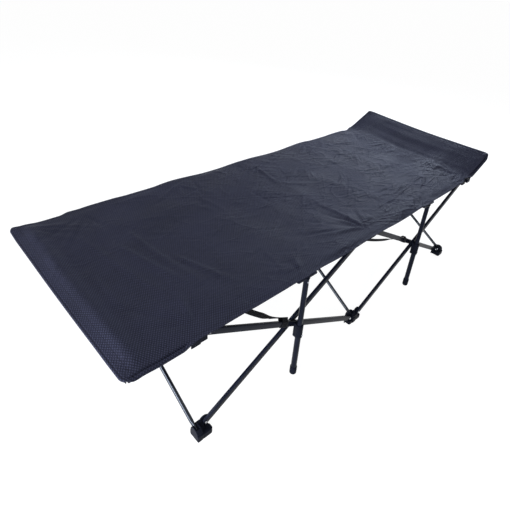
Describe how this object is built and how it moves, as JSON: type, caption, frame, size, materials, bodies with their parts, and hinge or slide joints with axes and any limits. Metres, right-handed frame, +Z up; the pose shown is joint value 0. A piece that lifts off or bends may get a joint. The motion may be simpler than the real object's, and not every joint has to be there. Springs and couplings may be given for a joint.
{
  "type": "folding camping cot",
  "caption": "Bundle-fold camp bed: dark woven sheet with a raised head end on a black steel scissor frame with centre legs",
  "frame": {"origin": "on the floor below the middle of the bed", "axes": "X along the bed with the raised head end at +X, Y across the bed, Z up"},
  "size_m": [1.9006, 0.7724, 0.5192],
  "materials": {
    "powder_coat": "satin black powder coat on steel tube",
    "gloss_coat": "glossy black paint on thin steel tube",
    "hub_plastic": "black moulded nylon, fine texture",
    "bed_cloth": "dark navy-charcoal coated polyester oxford weave, faint sheen",
    "webbing": "black polypropylene webbing",
    "spacer_nylon": "black nylon washer"
  },
  "bodies": {
    "hub_left_mid_floor": {"floor_hub_left_mid": "hub_plastic"},
    "left_toe_outer": {"side_tube_left_toe_outer": "powder_coat", "crossing_spacer_left_toe": "spacer_nylon"},
    "left_toe_inner": {"side_tube_left_toe_inner": "powder_coat"},
    "hub_left_toe_floor": {"floor_hub_left_toe": "hub_plastic"},
    "hub_left_mid_top": {"top_hub_left_mid": "hub_plastic"},
    "hub_left_toe_top": {"top_hub_left_toe": "hub_plastic"},
    "left_toe_leg": {"leg_tube_left_toe": "powder_coat", "leg_collar_left_toe": "hub_plastic", "leg_cap_left_toe": "hub_plastic", "strap_toe": "webbing"},
    "left_head_outer": {"side_tube_left_head_outer": "powder_coat", "crossing_spacer_left_head": "spacer_nylon"},
    "left_head_inner": {"side_tube_left_head_inner": "powder_coat"},
    "hub_left_head_floor": {"floor_hub_left_head": "hub_plastic"},
    "hub_left_head_top": {"top_hub_left_head": "hub_plastic"},
    "left_head_leg": {"leg_tube_left_head": "powder_coat", "leg_collar_left_head": "hub_plastic", "leg_cap_left_head": "hub_plastic", "strap_head": "webbing"},
    "left_toe_post": {"centre_post_left_toe": "powder_coat", "post_clip_left_toe": "powder_coat"},
    "left_toe_arm": {"corner_arm_left_toe": "powder_coat"},
    "left_head_post": {"centre_post_left_head": "powder_coat", "post_clip_left_head": "powder_coat"},
    "left_head_arm": {"corner_arm_left_head": "powder_coat"},
    "mid_cross_left": {"cross_tube_mid_left": "gloss_coat"},
    "mid_cross_right": {"cross_tube_mid_right": "gloss_coat"},
    "hub_right_mid_floor": {"floor_hub_right_mid": "hub_plastic"},
    "right_toe_outer": {"side_tube_right_toe_outer": "powder_coat", "crossing_spacer_right_toe": "spacer_nylon"},
    "right_toe_inner": {"side_tube_right_toe_inner": "powder_coat"},
    "hub_right_toe_floor": {"floor_hub_right_toe": "hub_plastic"},
    "hub_right_mid_top": {"top_hub_right_mid": "hub_plastic"},
    "hub_right_toe_top": {"top_hub_right_toe": "hub_plastic"},
    "right_toe_leg": {"leg_tube_right_toe": "powder_coat", "leg_collar_right_toe": "hub_plastic", "leg_cap_right_toe": "hub_plastic"},
    "right_head_outer": {"side_tube_right_head_outer": "powder_coat", "crossing_spacer_right_head": "spacer_nylon"},
    "right_head_inner": {"side_tube_right_head_inner": "powder_coat"},
    "hub_right_head_floor": {"floor_hub_right_head": "hub_plastic"},
    "hub_right_head_top": {"top_hub_right_head": "hub_plastic"},
    "right_head_leg": {"leg_tube_right_head": "powder_coat", "leg_collar_right_head": "hub_plastic", "leg_cap_right_head": "hub_plastic"},
    "right_toe_post": {"centre_post_right_toe": "powder_coat", "post_clip_right_toe": "powder_coat"},
    "right_toe_arm": {"corner_arm_right_toe": "powder_coat"},
    "right_head_post": {"centre_post_right_head": "powder_coat", "post_clip_right_head": "powder_coat"},
    "right_head_arm": {"corner_arm_right_head": "powder_coat"},
    "sheet": {"bed_sheet": "bed_cloth"},
    "toe_cross_left": {"cross_tube_toe_left": "gloss_coat"},
    "toe_cross_right": {"cross_tube_toe_right": "gloss_coat"},
    "head_cross_left": {"cross_tube_head_left": "gloss_coat"},
    "head_cross_right": {"cross_tube_head_right": "gloss_coat"}
  },
  "joints": [
    {"name": "fold", "type": "hinge", "parent": "hub_left_mid_floor", "child": "left_toe_outer", "pos_m": [-0.0275, -0.35, 0.026], "axis": [0, 1, 0], "range_deg": [0, 54], "deforming": ["bed_sheet", "strap_toe", "strap_head"]},
    {"name": "left_toe_scissor", "type": "hinge", "parent": "left_toe_outer", "child": "left_toe_inner", "pos_m": [-0.37, -0.334, 0.222], "axis": [0, 1, 0], "range_deg": [-108, 0]},
    {"name": "left_toe_floor_hub_turn", "type": "hinge", "parent": "left_toe_inner", "child": "hub_left_toe_floor", "pos_m": [-0.7125, -0.334, 0.026], "axis": [0, 1, 0], "range_deg": [0, 54]},
    {"name": "left_mid_top_hub_turn", "type": "hinge", "parent": "left_toe_inner", "child": "hub_left_mid_top", "pos_m": [-0.0275, -0.334, 0.418], "axis": [0, 1, 0], "range_deg": [0, 54]},
    {"name": "left_toe_top_hub_turn", "type": "hinge", "parent": "left_toe_outer", "child": "hub_left_toe_top", "pos_m": [-0.7125, -0.35, 0.418], "axis": [0, 1, 0], "range_deg": [-54, 0]},
    {"name": "left_toe_leg_turn", "type": "hinge", "parent": "left_toe_outer", "child": "left_toe_leg", "pos_m": [-0.37, -0.35, 0.222], "axis": [0, 1, 0], "range_deg": [-54, 0]},
    {"name": "left_head_outer_fold", "type": "hinge", "parent": "hub_left_mid_floor", "child": "left_head_outer", "pos_m": [0.0275, -0.35, 0.026], "axis": [0, 1, 0], "range_deg": [-54, 0]},
    {"name": "left_head_scissor", "type": "hinge", "parent": "left_head_outer", "child": "left_head_inner", "pos_m": [0.37, -0.334, 0.222], "axis": [0, 1, 0], "range_deg": [0, 108]},
    {"name": "left_head_floor_hub_turn", "type": "hinge", "parent": "left_head_inner", "child": "hub_left_head_floor", "pos_m": [0.7125, -0.334, 0.026], "axis": [0, 1, 0], "range_deg": [-54, 0]},
    {"name": "left_head_top_hub_turn", "type": "hinge", "parent": "left_head_outer", "child": "hub_left_head_top", "pos_m": [0.7125, -0.35, 0.418], "axis": [0, 1, 0], "range_deg": [0, 54]},
    {"name": "left_head_leg_turn", "type": "hinge", "parent": "left_head_outer", "child": "left_head_leg", "pos_m": [0.37, -0.35, 0.222], "axis": [0, 1, 0], "range_deg": [0, 54]},
    {"name": "left_toe_post_slide", "type": "slide", "parent": "left_toe_leg", "child": "left_toe_post", "axis": [0, 0, 1], "range_m": [0, 0.15]},
    {"name": "left_toe_arm_turn", "type": "hinge", "parent": "hub_left_toe_top", "child": "left_toe_arm", "pos_m": [-0.772, -0.362, 0.4267], "axis": [0, 1, 0], "range_deg": [-90, 0]},
    {"name": "left_head_post_slide", "type": "slide", "parent": "left_head_leg", "child": "left_head_post", "axis": [0, 0, 1], "range_m": [0, 0.15]},
    {"name": "left_head_arm_turn", "type": "hinge", "parent": "hub_left_head_top", "child": "left_head_arm", "pos_m": [0.772, -0.362, 0.4267], "axis": [0, 1, 0], "range_deg": [0, 108]},
    {"name": "mid_cross_left_fold", "type": "hinge", "parent": "hub_left_mid_floor", "child": "mid_cross_left", "pos_m": [-0.0075, -0.3425, 0.026], "axis": [1, 0, 0], "range_deg": [0, 54]},
    {"name": "mid_cross_scissor", "type": "hinge", "parent": "mid_cross_left", "child": "mid_cross_right", "pos_m": [0, 0, 0.222], "axis": [1, 0, 0], "range_deg": [-108, 0]},
    {"name": "right_mid_floor_hub_turn", "type": "hinge", "parent": "mid_cross_right", "child": "hub_right_mid_floor", "pos_m": [0.0075, 0.3425, 0.026], "axis": [1, 0, 0], "range_deg": [0, 54]},
    {"name": "right_toe_outer_fold", "type": "hinge", "parent": "hub_right_mid_floor", "child": "right_toe_outer", "pos_m": [-0.0275, 0.35, 0.026], "axis": [0, 1, 0], "range_deg": [0, 54]},
    {"name": "right_toe_scissor", "type": "hinge", "parent": "right_toe_outer", "child": "right_toe_inner", "pos_m": [-0.37, 0.334, 0.222], "axis": [0, 1, 0], "range_deg": [-108, 0]},
    {"name": "right_toe_floor_hub_turn", "type": "hinge", "parent": "right_toe_inner", "child": "hub_right_toe_floor", "pos_m": [-0.7125, 0.334, 0.026], "axis": [0, 1, 0], "range_deg": [0, 54]},
    {"name": "right_mid_top_hub_turn", "type": "hinge", "parent": "right_toe_inner", "child": "hub_right_mid_top", "pos_m": [-0.0275, 0.334, 0.418], "axis": [0, 1, 0], "range_deg": [0, 54]},
    {"name": "right_toe_top_hub_turn", "type": "hinge", "parent": "right_toe_outer", "child": "hub_right_toe_top", "pos_m": [-0.7125, 0.35, 0.418], "axis": [0, 1, 0], "range_deg": [-54, 0]},
    {"name": "right_toe_leg_turn", "type": "hinge", "parent": "right_toe_outer", "child": "right_toe_leg", "pos_m": [-0.37, 0.35, 0.222], "axis": [0, 1, 0], "range_deg": [-54, 0]},
    {"name": "right_head_outer_fold", "type": "hinge", "parent": "hub_right_mid_floor", "child": "right_head_outer", "pos_m": [0.0275, 0.35, 0.026], "axis": [0, 1, 0], "range_deg": [-54, 0]},
    {"name": "right_head_scissor", "type": "hinge", "parent": "right_head_outer", "child": "right_head_inner", "pos_m": [0.37, 0.334, 0.222], "axis": [0, 1, 0], "range_deg": [0, 108]},
    {"name": "right_head_floor_hub_turn", "type": "hinge", "parent": "right_head_inner", "child": "hub_right_head_floor", "pos_m": [0.7125, 0.334, 0.026], "axis": [0, 1, 0], "range_deg": [-54, 0]},
    {"name": "right_head_top_hub_turn", "type": "hinge", "parent": "right_head_outer", "child": "hub_right_head_top", "pos_m": [0.7125, 0.35, 0.418], "axis": [0, 1, 0], "range_deg": [0, 54]},
    {"name": "right_head_leg_turn", "type": "hinge", "parent": "right_head_outer", "child": "right_head_leg", "pos_m": [0.37, 0.35, 0.222], "axis": [0, 1, 0], "range_deg": [0, 54]},
    {"name": "right_toe_post_slide", "type": "slide", "parent": "right_toe_leg", "child": "right_toe_post", "axis": [0, 0, 1], "range_m": [0, 0.15]},
    {"name": "right_toe_arm_turn", "type": "hinge", "parent": "hub_right_toe_top", "child": "right_toe_arm", "pos_m": [-0.772, 0.362, 0.4267], "axis": [0, 1, 0], "range_deg": [-90, 0]},
    {"name": "right_head_post_slide", "type": "slide", "parent": "right_head_leg", "child": "right_head_post", "axis": [0, 0, 1], "range_m": [0, 0.15]},
    {"name": "right_head_arm_turn", "type": "hinge", "parent": "hub_right_head_top", "child": "right_head_arm", "pos_m": [0.772, 0.362, 0.4267], "axis": [0, 1, 0], "range_deg": [0, 108]},
    {"name": "sheet_turn", "type": "hinge", "parent": "mid_cross_left", "child": "sheet", "pos_m": [0, 0, 0.222], "axis": [1, 0, 0], "range_deg": [-54, 0]},
    {"name": "toe_cross_left_fold", "type": "hinge", "parent": "hub_left_toe_floor", "child": "toe_cross_left", "pos_m": [-0.7475, -0.3425, 0.026], "axis": [1, 0, 0], "range_deg": [0, 54]},
    {"name": "toe_cross_scissor", "type": "hinge", "parent": "toe_cross_left", "child": "toe_cross_right", "pos_m": [-0.74, 0, 0.222], "axis": [1, 0, 0], "range_deg": [-108, 0]},
    {"name": "head_cross_left_fold", "type": "hinge", "parent": "hub_left_head_floor", "child": "head_cross_left", "pos_m": [0.7325, -0.3425, 0.026], "axis": [1, 0, 0], "range_deg": [0, 54]},
    {"name": "head_cross_scissor", "type": "hinge", "parent": "head_cross_left", "child": "head_cross_right", "pos_m": [0.74, 0, 0.222], "axis": [1, 0, 0], "range_deg": [-108, 0]}
  ],
  "couplings": [
    {"joint": "left_toe_scissor", "follows": "fold", "ratio": -2},
    {"joint": "left_toe_floor_hub_turn", "follows": "fold", "ratio": 1},
    {"joint": "left_mid_top_hub_turn", "follows": "fold", "ratio": 1},
    {"joint": "left_toe_top_hub_turn", "follows": "fold", "ratio": -1},
    {"joint": "left_toe_leg_turn", "follows": "fold", "ratio": -1},
    {"joint": "left_head_outer_fold", "follows": "fold", "ratio": -1},
    {"joint": "left_head_scissor", "follows": "fold", "ratio": 2},
    {"joint": "left_head_floor_hub_turn", "follows": "fold", "ratio": -1},
    {"joint": "left_head_top_hub_turn", "follows": "fold", "ratio": 1},
    {"joint": "left_head_leg_turn", "follows": "fold", "ratio": 1},
    {"joint": "left_toe_arm_turn", "follows": "fold", "ratio": -1.6667},
    {"joint": "left_head_arm_turn", "follows": "fold", "ratio": 2},
    {"joint": "mid_cross_left_fold", "follows": "fold", "ratio": 1},
    {"joint": "mid_cross_scissor", "follows": "fold", "ratio": -2},
    {"joint": "right_mid_floor_hub_turn", "follows": "fold", "ratio": 1},
    {"joint": "right_toe_outer_fold", "follows": "fold", "ratio": 1},
    {"joint": "right_toe_scissor", "follows": "fold", "ratio": -2},
    {"joint": "right_toe_floor_hub_turn", "follows": "fold", "ratio": 1},
    {"joint": "right_mid_top_hub_turn", "follows": "fold", "ratio": 1},
    {"joint": "right_toe_top_hub_turn", "follows": "fold", "ratio": -1},
    {"joint": "right_toe_leg_turn", "follows": "fold", "ratio": -1},
    {"joint": "right_head_outer_fold", "follows": "fold", "ratio": -1},
    {"joint": "right_head_scissor", "follows": "fold", "ratio": 2},
    {"joint": "right_head_floor_hub_turn", "follows": "fold", "ratio": -1},
    {"joint": "right_head_top_hub_turn", "follows": "fold", "ratio": 1},
    {"joint": "right_head_leg_turn", "follows": "fold", "ratio": 1},
    {"joint": "right_toe_arm_turn", "follows": "fold", "ratio": -1.6667},
    {"joint": "right_head_arm_turn", "follows": "fold", "ratio": 2},
    {"joint": "sheet_turn", "follows": "fold", "ratio": -1},
    {"joint": "toe_cross_left_fold", "follows": "fold", "ratio": 1},
    {"joint": "toe_cross_scissor", "follows": "fold", "ratio": -2},
    {"joint": "head_cross_left_fold", "follows": "fold", "ratio": 1},
    {"joint": "head_cross_scissor", "follows": "fold", "ratio": -2}
  ]
}
